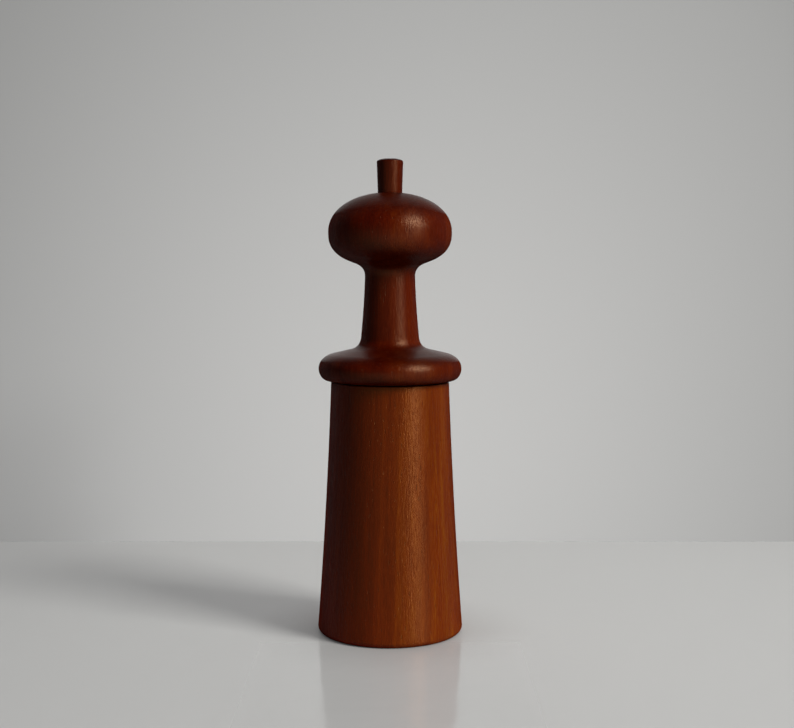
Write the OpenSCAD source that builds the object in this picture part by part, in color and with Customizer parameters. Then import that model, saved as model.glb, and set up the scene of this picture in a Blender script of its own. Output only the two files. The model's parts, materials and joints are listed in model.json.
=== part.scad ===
// Pepper mill with a salt holder in its head.
// The barrel stands on the table plane z = 0, and everything turns about the Z axis.

/* [Barrel] */
// Height of the barrel from the table to its rim
barrel_h = 118.2; // [100:0.2:140]
// Width across the foot
foot_d = 68.2; // [62:0.1:76]
// Width across the rim
rim_d = 55.2; // [52:0.1:60]
// How far the wall draws in between the foot and the rim
waist_sag = 0.6; // [0:0.1:1.5]
// Rounding of the foot's outer edge
foot_round = 2.6; // [1:0.1:4]
// Small break on the edges of the turned wood
edge_break = 0.7; // [0.3:0.1:1]
// Width of the grain chamber
chamber_d = 36; // [32:0.5:37]
// Width of the seat that takes the grinding ring
seat_d = 40; // [39:0.5:42]
// Width of the recess under the barrel
recess_d = 52; // [50:0.5:54]
// Depth of the recess under the barrel
recess_h = 8; // [7.5:0.1:10]

/* [Head] */
// Gap between the barrel's rim and the head
seam_gap = 0.3; // [0.2:0.05:0.5]
// Height of the fine shadow step under the head's disc
step_h = 0.4; // [0.3:0.1:1]
// How far the shadow step lies inside the rim
step_inset = 0.6; // [0.3:0.1:1.5]
// Width across the head's disc
disc_d = 66.8; // [62:0.1:72]
// Width of the rounding under the disc
disc_low_w = 4.6; // [3:0.1:5]
// Height of the rounding under the disc
disc_low_h = 5.5; // [3:0.1:7]
// Width of the rounding on top of the disc
disc_top_w = 8.8; // [5:0.1:10]
// Height of the rounding on top of the disc
disc_top_h = 7.4; // [5:0.1:8]
// Rise of the disc's top towards the neck, as a slope
shoulder_slope = 0.235; // [0.15:0.005:0.4]
// Width of the neck at its foot
neck_foot_d = 28.2; // [25:0.1:30]
// Width of the neck under the bulb
neck_d = 23.2; // [22.5:0.1:25]
// How the neck widens towards its foot, where 1 is a straight cone
neck_power = 1.6; // [1:0.1:3]
// Size of the hollow where the neck leaves the disc
neck_foot_fillet = 4.6; // [3:0.1:6]
// Size of the hollow where the neck meets the bulb
neck_top_fillet = 4.2; // [2:0.1:5]
// Height of the bulb's widest line above the barrel's rim
bulb_rise = 69.7; // [65:0.1:75]
// Width across the bulb
bulb_d = 57.5; // [52:0.1:62]
// Height of the bulb above its widest line
bulb_top_h = 18.5; // [16:0.1:21]
// Depth of the bulb below its widest line
bulb_low_h = 15.8; // [14:0.1:17]
// Fullness of the bulb's upper half, where 2 is an ellipse
bulb_top_power = 2.13; // [2:0.01:2.4]
// Fullness of the bulb's lower half, where 2 is an ellipse
bulb_low_power = 2.5; // [2.3:0.05:2.7]
// Width at which the bulb's underside turns into a straight cone
bulb_cone_d = 38.6; // [36:0.1:40]
// Length of the spigot that centres the head in the barrel
spigot_l = 12; // [8:0.5:16]
// Width of the salt bore in the head
salt_d = 16; // [14:0.5:17]
// Thickness of the plug that closes the salt bore
salt_floor_h = 4; // [3:0.5:6]

/* [Stopper] */
// Length of the stopper above the bulb
stopper_show = 15.5; // [12:0.1:22]
// Length of the stopper inside the bulb
stopper_plug = 10; // [8:0.5:12]
// Width of the stopper where it leaves the bulb
stopper_d = 11.3; // [10:0.1:12]
// How much the stopper widens in each millimetre of height
stopper_taper = 0.065; // [0.03:0.005:0.08]
// Height of the stopper's domed end
stopper_crown = 1.6; // [0.5:0.1:2]
// Fullness of the domed end, where 2 is an ellipse and more is flatter
stopper_crown_power = 2.4; // [2:0.1:5]

/* [Mechanism] */
// Width of the square drive shaft
shaft_w = 5; // [4.5:0.1:5.4]
// How far the shaft reaches above the drive plate
shaft_rise = 20; // [16:0.5:24]
// Thickness of the straps and plates
strap_t = 1.5; // [1.2:0.1:1.8]
// Width of the straps
strap_w = 11; // [9:0.5:12]
// Thickness of the base ring
ring_t = 1; // [0.8:0.1:1.2]
// Height of the grinding ring
stator_h = 16; // [15:0.5:20]
// Width of the grinding ring's throat, measured over its tooth tips
throat_d = 32; // [30:0.1:32.5]
// Height of the fine grinding band
fine_h = 7; // [5:0.5:8]
// Taper of the fine band, as radius lost in each millimetre of height
fine_taper = 0.16; // [0.1:0.01:0.2]
// Radial gap between the two sets of teeth at the coarsest setting
burr_gap = 0.45; // [0.3:0.05:0.8]
// Travel of the grind adjustment
lift = 1; // [0.5:0.1:1.2]
// Height of the rotor between its bottom and the top of its hub
rotor_h = 21; // [20:0.5:24]
// Number of fine teeth on the grinding ring
stator_teeth = 36; // [24:1:48]
// Number of fine teeth on the rotor
rotor_teeth = 32; // [24:1:44]
// Number of feeding ribs on the rotor
rotor_ribs = 6; // [4:1:8]
// Depth of the feeding ribs at their foot
rib_depth = 3.6; // [2.5:0.1:4]
// Turn of the feeding ribs over their height, in degrees
rib_twist = 75; // [40:5:90]
// Number of coarse teeth in the grinding ring's funnel
funnel_teeth = 9; // [6:1:12]
// Depth of the coarse teeth
funnel_depth = 1.1; // [0.6:0.1:1.4]
// Height from the grinding ring to the ledge that holds the upper bridge
bridge_h = 22; // [20:0.5:28]
// Diameter of the thrust ball
ball_d = 4; // [3.5:0.1:4.4]
// Diameter of the adjusting screw
screw_d = 6; // [5:0.1:7]
// Width of the adjusting screw's knurled head
thumb_d = 12.4; // [11:0.1:15]
// Thickness of the adjusting screw's knurled head
thumb_h = 3.2; // [2.5:0.1:3.4]
// Number of knurls on the adjusting screw
knurls = 30; // [20:1:40]
// Width of the coin slot in the adjusting screw
coin_slot_w = 1.4; // [1:0.1:2]
// Depth of the coin slot
coin_slot_h = 1; // [0.6:0.1:1.4]
// Diameter of the spring's wire
spring_wire = 1.2; // [1:0.1:1.4]
// Mean diameter of the spring's turns
spring_d = 10.4; // [9.5:0.1:11]
// Number of turns of the spring
spring_turns = 6; // [5:1:7]
// Diameter of the clip's wire
clip_wire = 1.2; // [1:0.1:1.4]
// Diameter of the wood screws
wood_screw_d = 2.5; // [2:0.1:2.8]
// Length of the wood screws in the wood
wood_screw_l = 8; // [6:0.5:9]
// Diameter of the pin that carries the rotor
pin_d = 1.5; // [1.2:0.1:1.8]

/* [Hidden] */

$fn = 64;
far = 400;          // longer than the whole mill, for cuts that run right through
teak = [0.46, 0.19, 0.07];
teak_dark = [0.36, 0.13, 0.05];
steel = [0.72, 0.73, 0.75];
dark_steel = [0.42, 0.43, 0.45];
brass = [0.78, 0.62, 0.3];

// Clearances
running = 0.06;     // radial play of a part that turns or slides in another
touch = 0.02;       // play of two faces that only push on each other
working = 0.2;      // room between parts that pass each other

// Heights in the barrel, from the table up
ring_z = recess_h - ring_t;
bridge_z = ring_z - strap_t;
stator_top = recess_h + stator_h;
ledge_z = stator_top + bridge_h;
upper_strap_z = ledge_z - strap_t;

// Adjusting screw, thrust ball and shaft, which push on each other
thumb_top = bridge_z - lift - running - touch;
rotor_inset = 0.8;  // the rotor's foot stands this far inside the grinding ring
hub_recess = 1.2;   // depth of the room for the boss under the rotor
rotor_z = recess_h + rotor_inset;
rotor_top = rotor_z + rotor_h;
boss_top = rotor_z - working;
hub_under = rotor_z + hub_recess;
shank_top = hub_under - lift;
screw_tip = hub_under + working;
ball_z = screw_tip + touch + ball_d / 2;
shaft_z = ball_z + ball_d / 2 + touch;
pocket_d = ball_d + 2 * running;
boss_d = screw_d + 4;
boss_room_d = boss_d + 3;
small_break = 0.5;  // chamfer on small turned pieces
knurl_depth = 0.4;

// Fine band: the rotor's teeth follow the ring's teeth at the burr gap
ring_fine_h = fine_h + rotor_inset;
throat_top_d = throat_d - 2 * fine_taper * ring_fine_h;
rotor_foot_d = throat_d - 2 * burr_gap - 2 * fine_taper * rotor_inset;
rotor_band_d = rotor_foot_d - 2 * fine_taper * fine_h;
fine_depth = 0.8;
ring_fine_twist = 14;       // turn of each set of teeth over its height, in degrees
rotor_fine_twist = -16;
funnel_twist = 26;
funnel_top_d = seat_d - 5;
hub_d = 12.4;
hub_h = 3;
cone_foot_d = rotor_band_d - 0.8;
cone_top_d = hub_d + 4;
pin_z = rotor_top - hub_h / 2;
washer_t = 1;
washer_d = spring_d + spring_wire + 1.6;
corner_d = shaft_w * 1.3;   // the shaft's edges are rounded on this diameter
shaft_point_h = 2;          // height and inset of the shaft's tapered top
shaft_point_in = 1.4;
leg_t = strap_t + 0.4;      // the upper bridge's legs are curved outside to fit the seat
guide_d = washer_d + 2;     // the upper bridge widens to this round its hole
base_ring_d = recess_d - 1.2;
base_ring_bore = throat_d + 3.2;
wood_screw_r = (seat_d + base_ring_d) / 4;
screw_head_d = 2 * wood_screw_d;
screw_head_h = 0.55 * wood_screw_d;
screw_slot_w = 0.24 * wood_screw_d;
ring_screw_l = ring_t + wood_screw_l;   // lengths from the underside of the screws' heads
bridge_screw_l = strap_t + ring_t + wood_screw_l;
plate_screw_l = strap_t + wood_screw_l;

// Heights in the head
head_z = barrel_h + seam_gap;
disc_z = head_z + step_h;
disc_mid_z = disc_z + disc_low_h;
bulb_z = barrel_h + bulb_rise;
spigot_z = head_z - spigot_l;
plate_d = 30;
plate_top = spigot_z + strap_t;
clip_room = clip_wire + touch;
clip_pocket_d = salt_d + 2;
shaft_top = plate_top + shaft_rise;
salt_floor_z = shaft_top + 2;
clip_bend_y = 4;    // the hairpin's bend turns about a point this far from the axis
plate_screw_r = (clip_pocket_d / 2 + plate_d / 2) / 2;

// Radius of the stopper at a height
bulb_top_z = bulb_z + swell_height(stopper_d / 2, bulb_d / 2, bulb_top_h, bulb_top_power);
function stopper_r(z) = stopper_d / 2 + stopper_taper / 2 * (z - bulb_top_z);
stopper_z = bulb_top_z - stopper_plug;
mill_h = bulb_top_z + stopper_show;

// Points of an elliptic arc about c with half axes s, from angle a0 to a1
function arc_pts(c, s, a0, a1, n) =
    [for (i = [0:n]) let (a = a0 + (a1 - a0) * i / n) [c.x + s.x * cos(a), c.y + s.y * sin(a)]];

// Points of a fuller or leaner ellipse with the given power
function swell_pts(c, s, power, a0, a1, n) =
    [for (i = [0:n]) let (a = a0 + (a1 - a0) * i / n)
        [c.x + s.x * pow(cos(a), 2 / power), c.y + s.y * sign(sin(a)) * pow(abs(sin(a)), 2 / power)]];

// Height of that ellipse above its centre at radius r
function swell_height(r, half_w, half_h, power) = half_h * pow(1 - pow(r / half_w, power), 1 / power);

// Slope of that ellipse at radius r
function swell_slope(r, half_w, half_h, power) =
    half_h / half_w * pow(r / half_w, power - 1) * pow(1 - pow(r / half_w, power), 1 / power - 1);

// Points of a hollow curve that leaves a towards b and reaches c from b
function hollow_pts(a, b, c, n) =
    [for (i = [0:n]) let (t = i / n) (1 - t) * (1 - t) * a + 2 * t * (1 - t) * b + t * t * c];

// An outline without its repeated points
function clean(pts) = [for (i = [0:len(pts) - 1]) if (i == 0 || norm(pts[i] - pts[i - 1]) > 0.002) pts[i]];

// Outer wall of the barrel from its foot to its rim
function barrel_wall() =
    let (foot = foot_d / 2, rim = rim_d / 2)
    concat(
        arc_pts([foot - foot_round, foot_round], [foot_round, foot_round], -90, 0, 6),
        [for (i = [1:12]) let (t = i / 12)
            [foot + (rim - foot) * t - 4 * waist_sag * t * (1 - t),
             foot_round + (barrel_h - edge_break - foot_round) * t]],
        [[rim - edge_break * 0.6, barrel_h]]);

// Outer wall of the head from the disc's underside to the stopper hole
function head_wall() =
    let (
        disc = disc_d / 2,
        foot = neck_foot_d / 2,
        neck = neck_d / 2,
        // the upper rounding ends where it has come down to the shoulder's slope
        round_end = atan(disc_top_h / (disc_top_w * shoulder_slope)),
        crest = [disc - disc_top_w + disc_top_w * cos(round_end), disc_mid_z + disc_top_h * sin(round_end)],
        fillet_r = foot + neck_foot_fillet,
        fillet_z = crest.y + (crest.x - fillet_r) * shoulder_slope,
        corner_z = fillet_z + neck_foot_fillet * shoulder_slope,
        // the bulb's underside ends in a cone that runs down to the neck
        cone_r = bulb_cone_d / 2,
        slope = swell_slope(cone_r, bulb_d / 2, bulb_low_h, bulb_low_power),
        cone_z = bulb_z - swell_height(cone_r, bulb_d / 2, bulb_low_h, bulb_low_power),
        meet_z = cone_z - (cone_r - neck) * slope,
        low_z = corner_z + neck_foot_fillet,
        high_z = meet_z - neck_top_fillet,
        cone_turn = -acos(pow(cone_r / (bulb_d / 2), bulb_low_power / 2)),
        hole_turn = acos(pow(stopper_d / bulb_d, bulb_top_power / 2)))
    concat(
        arc_pts([disc - disc_low_w, disc_mid_z], [disc_low_w, disc_low_h], -90, 0, 8),
        arc_pts([disc - disc_top_w, disc_mid_z], [disc_top_w, disc_top_h], 0, round_end, 10),
        hollow_pts([fillet_r, fillet_z], [foot, corner_z],
                   [neck_r(low_z, foot, neck, corner_z, meet_z), low_z], 7),
        [for (i = [1:9]) let (z = low_z + (high_z - low_z) * i / 10)
            [neck_r(z, foot, neck, corner_z, meet_z), z]],
        hollow_pts([neck_r(high_z, foot, neck, corner_z, meet_z), high_z], [neck, meet_z],
                   [neck + neck_top_fillet, meet_z + neck_top_fillet * slope], 7),
        swell_pts([0, bulb_z], [bulb_d / 2, bulb_low_h], bulb_low_power, cone_turn, 0, 12),
        swell_pts([0, bulb_z], [bulb_d / 2, bulb_top_h], bulb_top_power, 0, hole_turn, 16));

// Radius of the neck, which draws in along a power curve from its foot to the bulb
function neck_r(z, foot, neck, foot_z, top_z) =
    neck + (foot - neck) * pow((top_z - z) / (top_z - foot_z), neck_power);

// A ring of teeth between two radii; lean moves each crest round, and flat is the crest's share
module toothed(tip_r, root_r, teeth, lean = 0.5, flat = 0.2)
{
    step = 360 / teeth;
    polygon([for (i = [0:teeth - 1], k = [0:3])
        let (a = step * (i + [0, lean, lean + flat, 0.95][k]), r = [root_r, tip_r, tip_r, root_r][k])
        [r * cos(a), r * sin(a)]]);
}

// A solid turned on the Z axis from an outline of radius and height
module turned(pts)
{
    rotate_extrude() polygon(clean(pts));
}

// A wood screw with a slotted pan head, whose head's underside is at z = 0 and whose point is up
module wood_screw(length)
{
    difference() {
        turned([[0, -screw_head_h], [screw_head_d * 0.4, -screw_head_h],
                [screw_head_d / 2, -screw_head_h / 2], [screw_head_d / 2, 0],
                [wood_screw_d / 2, 0], [wood_screw_d / 2, length - wood_screw_d], [0, length]]);
        translate([-far / 2, -screw_slot_w / 2, -screw_head_h - far])
            cube([far, screw_slot_w, far + screw_head_h / 2]);
    }
}

// The hole that a wood screw makes, from its head's underside up
module screw_hole(length)
{
    turned([[0, 0], [wood_screw_d / 2, 0], [wood_screw_d / 2, length - wood_screw_d], [0, length]]);
}

// Places its children at each end of a line through the axis, at radius r
module pair_at(r, turn)
{
    for (a = [turn, turn + 180]) rotate([0, 0, a]) translate([r, 0, 0]) children();
}

// Places its children at three points round the axis
module three_at(r)
{
    for (a = [90, 210, 330]) rotate([0, 0, a]) translate([r, 0, 0]) children();
}

module barrel()
{
    color(teak) difference() {
        turned(concat(
            [[recess_d / 2 + edge_break, 0]],
            barrel_wall(),
            [[chamber_d / 2 + edge_break, barrel_h],
             [chamber_d / 2, barrel_h - edge_break],
             [chamber_d / 2, ledge_z],
             [seat_d / 2, ledge_z],
             [seat_d / 2, recess_h],
             [recess_d / 2, recess_h],
             [recess_d / 2, edge_break]]));
        translate([0, 0, ring_z]) pair_at(wood_screw_r, 90) screw_hole(ring_screw_l);
        translate([0, 0, bridge_z]) pair_at(wood_screw_r, 0) screw_hole(bridge_screw_l);
    }
}

// Grinding ring: a throat of fine helical teeth below a funnel of coarse ones
module stator_ring()
{
    funnel_h = stator_h - ring_fine_h;
    color(steel) translate([0, 0, recess_h]) difference() {
        cylinder(h = stator_h, d = seat_d);
        translate([0, 0, -touch])
            linear_extrude(ring_fine_h + 2 * touch, twist = ring_fine_twist, slices = 3,
                    scale = throat_top_d / throat_d)
                toothed(throat_d / 2 + fine_depth, throat_d / 2, stator_teeth);
        translate([0, 0, ring_fine_h])
            linear_extrude(funnel_h + touch, twist = funnel_twist, slices = 8,
                    scale = funnel_top_d / throat_top_d)
                toothed(throat_top_d / 2 + funnel_depth, throat_top_d / 2, funnel_teeth, 0.45, 0.35);
    }
}

// Ring that holds the grinding ring up in its seat
module base_ring()
{
    color(steel) translate([0, 0, ring_z]) difference() {
        cylinder(h = ring_t, d = base_ring_d);
        cylinder(h = far, d = base_ring_bore, center = true);
        pair_at(wood_screw_r, 90) cylinder(h = far, d = wood_screw_d, center = true);
        pair_at(wood_screw_r, 0) cylinder(h = far, d = wood_screw_d, center = true);
    }
}

module base_ring_screws()
{
    color(dark_steel) translate([0, 0, ring_z]) pair_at(wood_screw_r, 90) wood_screw(ring_screw_l);
}

// Bar across the underside, with the boss that the adjusting screw turns in
module lower_bridge()
{
    color(steel) translate([0, 0, bridge_z]) difference() {
        union() {
            intersection() {
                translate([-far / 2, -strap_w / 2, 0]) cube([far, strap_w, strap_t]);
                cylinder(h = strap_t, d = base_ring_d);
            }
            cylinder(h = boss_top - bridge_z, d = boss_d);
        }
        cylinder(h = far, d = screw_d + 2 * running, center = true);
        pair_at(wood_screw_r, 0) cylinder(h = far, d = wood_screw_d, center = true);
    }
}

module lower_bridge_screws()
{
    color(dark_steel) translate([0, 0, bridge_z]) pair_at(wood_screw_r, 0) wood_screw(bridge_screw_l);
}

// Strap bent down at both ends, which stands on the grinding ring and guides the shaft
module upper_bridge()
{
    color(steel) difference() {
        intersection() {
            translate([0, 0, stator_top]) cylinder(h = bridge_h, d = seat_d);
            union() {
                translate([-far / 2, -strap_w / 2, upper_strap_z]) cube([far, strap_w, strap_t]);
                translate([0, 0, upper_strap_z]) cylinder(h = strap_t, d = guide_d);
                for (side = [0, 180]) rotate([0, 0, side])
                    translate([seat_d / 2 - leg_t, -strap_w / 2, stator_top])
                        cube([far, strap_w, bridge_h]);
            }
        }
        cylinder(h = far, d = corner_d + 2 * running, center = true);
    }
}

// Coil spring between the washer and the upper bridge, with closed ends
module burr_spring()
{
    sides = 8;
    segs = 20;
    closed = spring_wire * 1.05;
    foot_z = rotor_top + washer_t + spring_wire / 2;
    room = upper_strap_z - rotor_top - washer_t - spring_wire;
    pitch = (room - 2 * closed) / (spring_turns - 2);
    rings = spring_turns * segs;
    pts = [for (i = [0:rings], k = [0:sides - 1])
        let (
            t = i / segs,
            a = 360 * t,
            b = 360 * k / sides,
            z = foot_z + closed * min(t, 1) + pitch * max(0, min(t - 1, spring_turns - 2))
                + closed * max(0, t - spring_turns + 1),
            r = spring_d / 2 + spring_wire / 2 * cos(b))
        [r * cos(a), r * sin(a), z + spring_wire / 2 * sin(b)]];
    sleeve = [for (i = [0:rings - 1], k = [0:sides - 1])
        let (n = (k + 1) % sides)
        [i * sides + k, i * sides + n, (i + 1) * sides + n, (i + 1) * sides + k]];
    first = [for (k = [0:sides - 1]) sides - 1 - k];
    last = [for (k = [0:sides - 1]) rings * sides + k];
    color(steel) polyhedron(pts, concat(sleeve, [first, last]), convexity = 8);
}

module thrust_ball()
{
    color(steel) translate([0, 0, ball_z]) sphere(d = ball_d);
}

// Knurled screw under the mill, which lifts the ball, the shaft and the rotor
module adjusting_screw()
{
    shank_r = screw_d / 2;
    tip_r = (ball_d - working) / 2;
    color(brass) difference() {
        union() {
            translate([0, 0, thumb_top - thumb_h]) linear_extrude(thumb_h)
                toothed(thumb_d / 2, thumb_d / 2 - knurl_depth, knurls, 0.4, 0.2);
            turned([[0, thumb_top - running], [shank_r, thumb_top - running],
                    [shank_r, shank_top - small_break], [shank_r - small_break, shank_top],
                    [tip_r, shank_top], [tip_r, screw_tip], [0, screw_tip]]);
        }
        translate([-far / 2, -coin_slot_w / 2, thumb_top - thumb_h - far])
            cube([far, coin_slot_w, far + coin_slot_h]);
    }
}

// Square shaft with rounded edges and a tapered top that finds the drive plate
module drive_shaft()
{
    color(dark_steel) difference() {
        intersection() {
            translate([-shaft_w / 2, -shaft_w / 2, shaft_z]) cube([shaft_w, shaft_w, shaft_top - shaft_z]);
            turned([[0, shaft_z], [corner_d / 2, shaft_z], [corner_d / 2, shaft_top - shaft_point_h],
                    [corner_d / 2 - shaft_point_in, shaft_top], [0, shaft_top]]);
        }
        pin_hole();
    }
}

// Cross hole for the pin that carries the rotor
module pin_hole()
{
    translate([0, 0, pin_z]) rotate([0, 90, 0]) cylinder(h = far, d = pin_d, center = true);
}

module shaft_pin()
{
    color(steel) translate([0, 0, pin_z]) rotate([0, 90, 0])
        cylinder(h = hub_d - 2 * working, d = pin_d, center = true);
}

// Grinding cone: deep helical ribs that feed down into a band of fine teeth
module rotor_burr()
{
    cone_h = rotor_h - fine_h - hub_h;
    color(dark_steel) difference() {
        union() {
            translate([0, 0, rotor_z])
                linear_extrude(fine_h, twist = rotor_fine_twist, slices = 4,
                        scale = rotor_band_d / rotor_foot_d)
                    toothed(rotor_foot_d / 2, rotor_foot_d / 2 - fine_depth, rotor_teeth);
            translate([0, 0, rotor_z + fine_h - working])
                linear_extrude(cone_h + working, twist = -rib_twist, slices = 12,
                        scale = cone_top_d / cone_foot_d)
                    toothed(cone_foot_d / 2, cone_foot_d / 2 - rib_depth, rotor_ribs, 0.35, 0.2);
            translate([0, 0, rotor_z + fine_h]) cylinder(h = rotor_h - fine_h, d = hub_d);
        }
        // room for the boss, pocket for the ball, and the square hole
        translate([0, 0, rotor_z - touch]) cylinder(h = hub_recess + touch, d = boss_room_d);
        translate([0, 0, rotor_z]) cylinder(h = shaft_z - rotor_z, d = pocket_d);
        translate([-shaft_w / 2, -shaft_w / 2, shaft_z - touch]) cube([shaft_w, shaft_w, far]);
        pin_hole();
    }
}

module spring_washer()
{
    color(steel) translate([0, 0, rotor_top]) difference() {
        cylinder(h = washer_t, d = washer_d);
        cylinder(h = far, d = corner_d + 4 * running, center = true);
    }
}

// Turned head: spigot, disc, neck and bulb in one piece, bored from below for the salt
module head()
{
    spigot_d = chamber_d - 2 * running;
    color(teak) difference() {
        turned(concat(
            [[clip_pocket_d / 2, plate_top],
             [plate_d / 2, plate_top],
             [plate_d / 2, spigot_z],
             [spigot_d / 2 - edge_break, spigot_z],
             [spigot_d / 2, spigot_z + edge_break],
             [spigot_d / 2, head_z],
             [rim_d / 2 - step_inset, head_z],
             [rim_d / 2 - step_inset, disc_z]],
            head_wall(),
            [[stopper_r(bulb_top_z) + running, bulb_top_z],
             [stopper_r(stopper_z) + running, stopper_z],
             [salt_d / 2, stopper_z - salt_d / 4],
             [salt_d / 2, plate_top + clip_room],
             [clip_pocket_d / 2, plate_top + clip_room]]));
        translate([0, 0, spigot_z]) three_at(plate_screw_r) screw_hole(plate_screw_l);
    }
}

// Plate under the spigot, whose square hole takes the shaft's drive
module drive_plate()
{
    hole = shaft_w + 2 * running;
    color(steel) translate([0, 0, spigot_z]) difference() {
        cylinder(h = strap_t, d = plate_d);
        translate([-hole / 2, -hole / 2, -1]) cube([hole, hole, strap_t + 2]);
        three_at(plate_screw_r) cylinder(h = far, d = wood_screw_d, center = true);
    }
}

module drive_plate_screws()
{
    color(dark_steel) translate([0, 0, spigot_z]) three_at(plate_screw_r) wood_screw(plate_screw_l);
}

// Hairpin of spring wire that grips the shaft and keeps the head on it
module shaft_clip()
{
    prong_x = shaft_w / 2 + touch + clip_wire / 2;
    reach = sqrt(pow(clip_pocket_d / 2 - running, 2) - pow(prong_x + clip_wire / 2, 2));
    color(steel) translate([0, 0, plate_top + clip_wire / 2]) {
        for (x = [-prong_x, prong_x])
            translate([x, clip_bend_y, 0]) rotate([90, 0, 0])
                cylinder(h = clip_bend_y + reach, d = clip_wire);
        translate([0, clip_bend_y, 0]) rotate_extrude(angle = 180) translate([prong_x, 0])
            circle(d = clip_wire);
    }
}

// Plug that closes the salt bore above the shaft
module salt_floor()
{
    color(teak_dark) translate([0, 0, salt_floor_z])
        turned([[0, 0], [salt_d / 2 - small_break, 0], [salt_d / 2, small_break],
                [salt_d / 2, salt_floor_h], [0, salt_floor_h]]);
}

// Tapered wooden stopper, pulled out to fill and pour the salt
module salt_stopper()
{
    crown_z = mill_h - stopper_crown;
    break_z = stopper_z + small_break;
    color(teak_dark) turned(concat(
        [[0, stopper_z], [stopper_r(stopper_z) - small_break, stopper_z], [stopper_r(break_z), break_z]],
        swell_pts([0, crown_z], [stopper_r(crown_z), stopper_crown], stopper_crown_power, 0, 90, 12)));
}

barrel();
stator_ring();
base_ring();
base_ring_screws();
lower_bridge();
lower_bridge_screws();
upper_bridge();
burr_spring();
thrust_ball();
adjusting_screw();
drive_shaft();
rotor_burr();
shaft_pin();
spring_washer();
head();
drive_plate();
drive_plate_screws();
shaft_clip();
salt_floor();
salt_stopper();
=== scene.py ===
"""The look of a turned wooden pepper mill, built round its packed construction.

Every length is in metres, and every piece stands where the construction has it: the foot's centre
is the origin, and the axis of turning is Z.
"""

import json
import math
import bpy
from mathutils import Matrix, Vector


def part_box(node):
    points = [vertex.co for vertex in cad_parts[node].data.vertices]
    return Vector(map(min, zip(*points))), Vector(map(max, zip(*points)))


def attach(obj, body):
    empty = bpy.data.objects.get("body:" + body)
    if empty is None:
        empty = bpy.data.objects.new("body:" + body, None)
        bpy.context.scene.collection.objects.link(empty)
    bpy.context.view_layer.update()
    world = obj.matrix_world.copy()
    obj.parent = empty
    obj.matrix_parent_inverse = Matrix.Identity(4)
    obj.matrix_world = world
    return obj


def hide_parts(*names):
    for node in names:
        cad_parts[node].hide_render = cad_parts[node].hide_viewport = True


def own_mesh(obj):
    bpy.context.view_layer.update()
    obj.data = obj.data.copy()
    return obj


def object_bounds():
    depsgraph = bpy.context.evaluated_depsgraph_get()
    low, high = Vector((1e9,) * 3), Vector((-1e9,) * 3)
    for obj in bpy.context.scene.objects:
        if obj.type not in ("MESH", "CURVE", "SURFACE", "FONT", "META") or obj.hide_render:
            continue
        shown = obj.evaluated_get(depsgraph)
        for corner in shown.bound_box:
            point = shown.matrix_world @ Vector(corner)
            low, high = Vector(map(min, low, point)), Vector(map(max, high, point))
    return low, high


bl_info = {
    "name": "Turned Pepper Mill",
    "version": (1, 0, 0),
    "blender": (4, 5, 0),
    "location": "3D View > Sidebar > Pepper Mill",
    "description": "Turns the mill's wooden pieces, winds its spring, finishes its metal and sets the stage",
    "category": "Object",
}

import bpy
from bpy.props import FloatProperty, FloatVectorProperty, IntProperty, PointerProperty
from mathutils import Vector

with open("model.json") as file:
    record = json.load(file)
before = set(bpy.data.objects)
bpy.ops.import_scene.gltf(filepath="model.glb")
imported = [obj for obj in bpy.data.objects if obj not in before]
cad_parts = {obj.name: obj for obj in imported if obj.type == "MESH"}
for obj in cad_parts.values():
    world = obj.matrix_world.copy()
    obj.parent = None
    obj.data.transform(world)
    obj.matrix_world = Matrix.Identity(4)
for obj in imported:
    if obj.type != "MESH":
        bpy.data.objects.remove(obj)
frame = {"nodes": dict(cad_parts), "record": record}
CAD_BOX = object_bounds()

BARREL_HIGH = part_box("barrel")[1]
HEAD_LOW, HEAD_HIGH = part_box("head")
STOPPER_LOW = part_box("salt_stopper")[0]
STATOR_LOW, STATOR_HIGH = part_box("stator_ring")
UPPER_BRIDGE_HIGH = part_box("upper_bridge")[1]
SPRING_LOW, SPRING_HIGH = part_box("burr_spring")
PLATE_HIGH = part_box("drive_plate")[1]
CLIP_LOW, CLIP_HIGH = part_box("shaft_clip")

HEAD_SEAM = BARREL_HIGH.z + 0.0003
CLIP_PLAY = 0.0009
BORE_EDGE = 0.00025
PEG_EDGE = 0.0004
TURNED_STEPS = 192
PEG_STEPS = 96
SMOOTH_ANGLE = math.radians(40)

# where in the plank each piece was cut, in millimetres
BARREL_PLACE = (118, -64, 0)
HEAD_PLACE = (-96, 75, 60)
STOPPER_PLACE = (61, 88, 130)
SALT_FLOOR_PLACE = (44, 52, 40)

# how fast each part of the wood's figure changes across the grain and along it, per millimetre
GRAIN = {
    "drift": (0.03, 0.010),
    "uneven": (0.11, 0.003),
    "broad": (0.16, 0.006),
    "streak": (1.0, 0.030),
    "fibre": (2.6, 0.12),
    "fleck": (1.5, 0.25),
    "pore": (1.3, 0.20),
}
# how much each gives to the figure, with the detail and the roughness of its noise
FIGURE = {
    "broad": (0.40, 3.0, 0.5),
    "streak": (0.24, 3.0, 0.6),
    "fibre": (0.16, 3.0, 0.6),
    "fleck": (0.20, 2.0, 0.6),
}
WANDER = 5.0

METALS = {
    "burr_steel": dict(base=(0.20, 0.20, 0.21), roughness=0.42, lay=(1, 1, 0.3)),
    "plated_steel": dict(base=(0.56, 0.56, 0.57), roughness=0.30, lay=(0.15, 1, 1)),
    "screw_steel": dict(base=(0.50, 0.50, 0.51), roughness=0.28),
    "spring_steel": dict(base=(0.36, 0.36, 0.38), roughness=0.32),
    "ball_steel": dict(base=(0.68, 0.68, 0.70), roughness=0.12),
    "shaft_steel": dict(base=(0.46, 0.46, 0.48), roughness=0.33, lay=(1, 1, 0.05)),
    "brass": dict(base=(0.60, 0.40, 0.14), roughness=0.30),
}

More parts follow.
